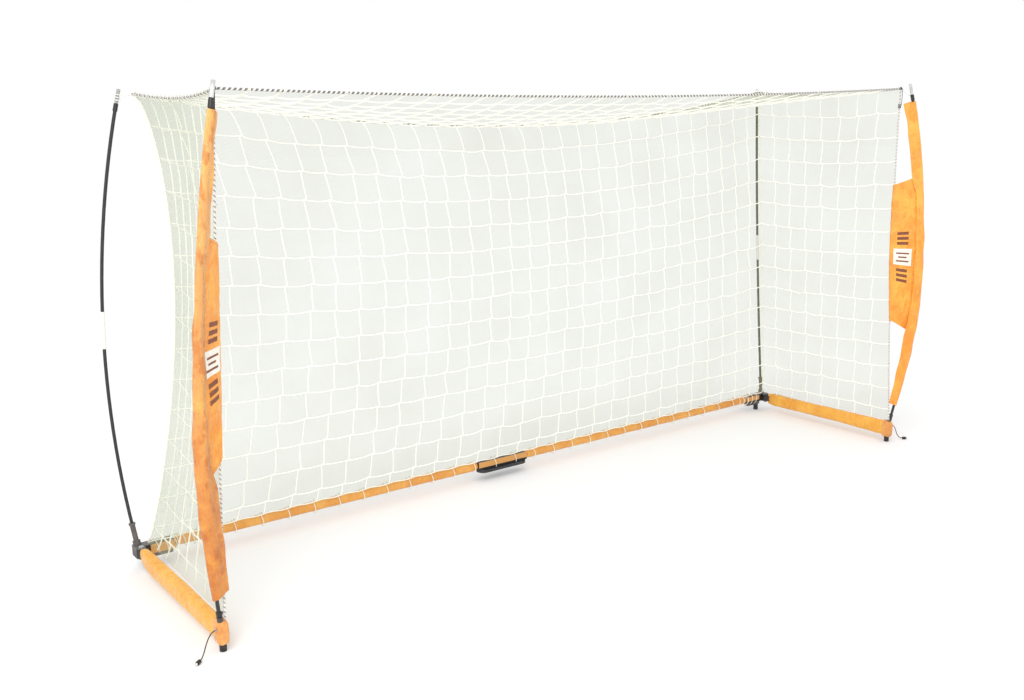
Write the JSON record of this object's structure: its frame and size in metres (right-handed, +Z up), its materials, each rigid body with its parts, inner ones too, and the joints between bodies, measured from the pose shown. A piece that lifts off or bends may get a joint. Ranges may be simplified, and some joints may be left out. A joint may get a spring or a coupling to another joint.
{
  "type": "portable goal",
  "caption": "Portable sports goal with a padded folding steel base, bowed poles, and a two-layer net held by braided ropes.",
  "frame": {"origin": "middle of the footprint on the floor", "axes": "+X to the right seen from the front, +Y to the back of the goal, +Z up"},
  "size_m": [3.8892, 1.0739, 1.8379],
  "materials": {
    "steel_dark": "satin, dark grey",
    "zinc": "zinc plated",
    "black_plastic": "matt, black",
    "rubber_black": "matt",
    "orange_fabric": "woven, padded",
    "orange_web": "flat webbing",
    "white_cord": "twisted twine",
    "black_pole": "glass-fibre rod, semi-gloss",
    "ferrule_white": "pale sleeve",
    "silver_tip": "satin",
    "net_white": "knotted net over a fine mesh",
    "braid": "black and white braid",
    "black_web": "black webbing and elastic"
  },
  "bodies": {
    "root": {"rear_tube_left": "steel_dark", "rear_tube_right": "steel_dark", "centre_coupler": "black_plastic", "centre_pad": "black_plastic", "left_bracket": "steel_dark", "right_bracket": "steel_dark", "hinge_bolts": "zinc", "rear_feet": "rubber_black", "rear_sleeve_left": "orange_fabric", "rear_sleeve_right": "orange_fabric", "base_strips": "orange_web", "rear_lacing": "white_cord", "rear_sockets": "steel_dark", "rear_pole_left": "black_pole", "rear_pole_right": "black_pole", "rear_ferrules": "ferrule_white", "rear_tips": "silver_tip", "rear_net": "net_white", "roof_net": "net_white", "front_top_rope": "braid", "rear_top_rope": "braid", "side_top_ropes": "braid", "rear_bungees": "white_cord"},
    "left_arm": {"left_arm_tube": "steel_dark", "left_knuckle": "steel_dark", "left_arm_sleeve": "orange_fabric", "left_front_foot": "rubber_black", "left_front_socket": "steel_dark", "left_pole_clamp": "black_plastic", "left_front_pole": "black_pole", "left_pole_fittings": "silver_tip", "left_pole_sleeve": "orange_fabric", "left_pole_flap": "orange_fabric", "left_strap": "black_web", "left_side_rope": "braid", "left_side_net": "net_white", "left_cord_eyelet": "zinc", "left_drawcord": "black_web", "left_cord_lock": "black_plastic"},
    "right_arm": {"right_arm_tube": "steel_dark", "right_knuckle": "steel_dark", "right_arm_sleeve": "orange_fabric", "right_front_foot": "rubber_black", "right_front_socket": "steel_dark", "right_pole_clamp": "black_plastic", "right_front_pole": "black_pole", "right_pole_fittings": "silver_tip", "right_pole_sleeve": "orange_fabric", "right_pole_flap": "orange_fabric", "right_strap": "black_web", "right_side_rope": "braid", "right_side_net": "net_white", "right_cord_eyelet": "zinc", "right_drawcord": "black_web", "right_cord_lock": "black_plastic"},
    "left_bar_button": {"left_bar_button": "zinc"},
    "right_bar_button": {"right_bar_button": "zinc"},
    "left_lock_plunger": {"left_lock_plunger": "black_plastic"},
    "right_lock_plunger": {"right_lock_plunger": "black_plastic"}
  },
  "joints": [
    {"name": "left_arm_fold", "type": "hinge", "parent": "root", "child": "left_arm", "pos_m": [-1.83, 0.404, 0.072], "axis": [0, 0, 1], "range_deg": [0, 70], "deforming": ["left_side_net", "roof_net", "front_top_rope", "side_top_ropes"]},
    {"name": "right_arm_fold", "type": "hinge", "parent": "root", "child": "right_arm", "pos_m": [1.83, 0.404, 0.072], "axis": [0, 0, -1], "range_deg": [0, 70], "deforming": ["right_side_net"]},
    {"name": "left_bar_button_press", "type": "slide", "parent": "root", "child": "left_bar_button", "axis": [0, -1, 0], "range_m": [0, 0.006], "stiffness_N_per_m": 300, "springref_m": -0.006},
    {"name": "right_bar_button_press", "type": "slide", "parent": "root", "child": "right_bar_button", "axis": [0, -1, 0], "range_m": [0, 0.006], "stiffness_N_per_m": 300, "springref_m": -0.006},
    {"name": "left_lock_press", "type": "slide", "parent": "left_arm", "child": "left_lock_plunger", "axis": [0.7828, 0.6222, 0], "range_m": [0, 0.0035], "stiffness_N_per_m": 150, "springref_m": -0.004},
    {"name": "right_lock_press", "type": "slide", "parent": "right_arm", "child": "right_lock_plunger", "axis": [-0.7828, 0.6222, 0], "range_m": [0, 0.0035], "stiffness_N_per_m": 150, "springref_m": -0.004}
  ]
}
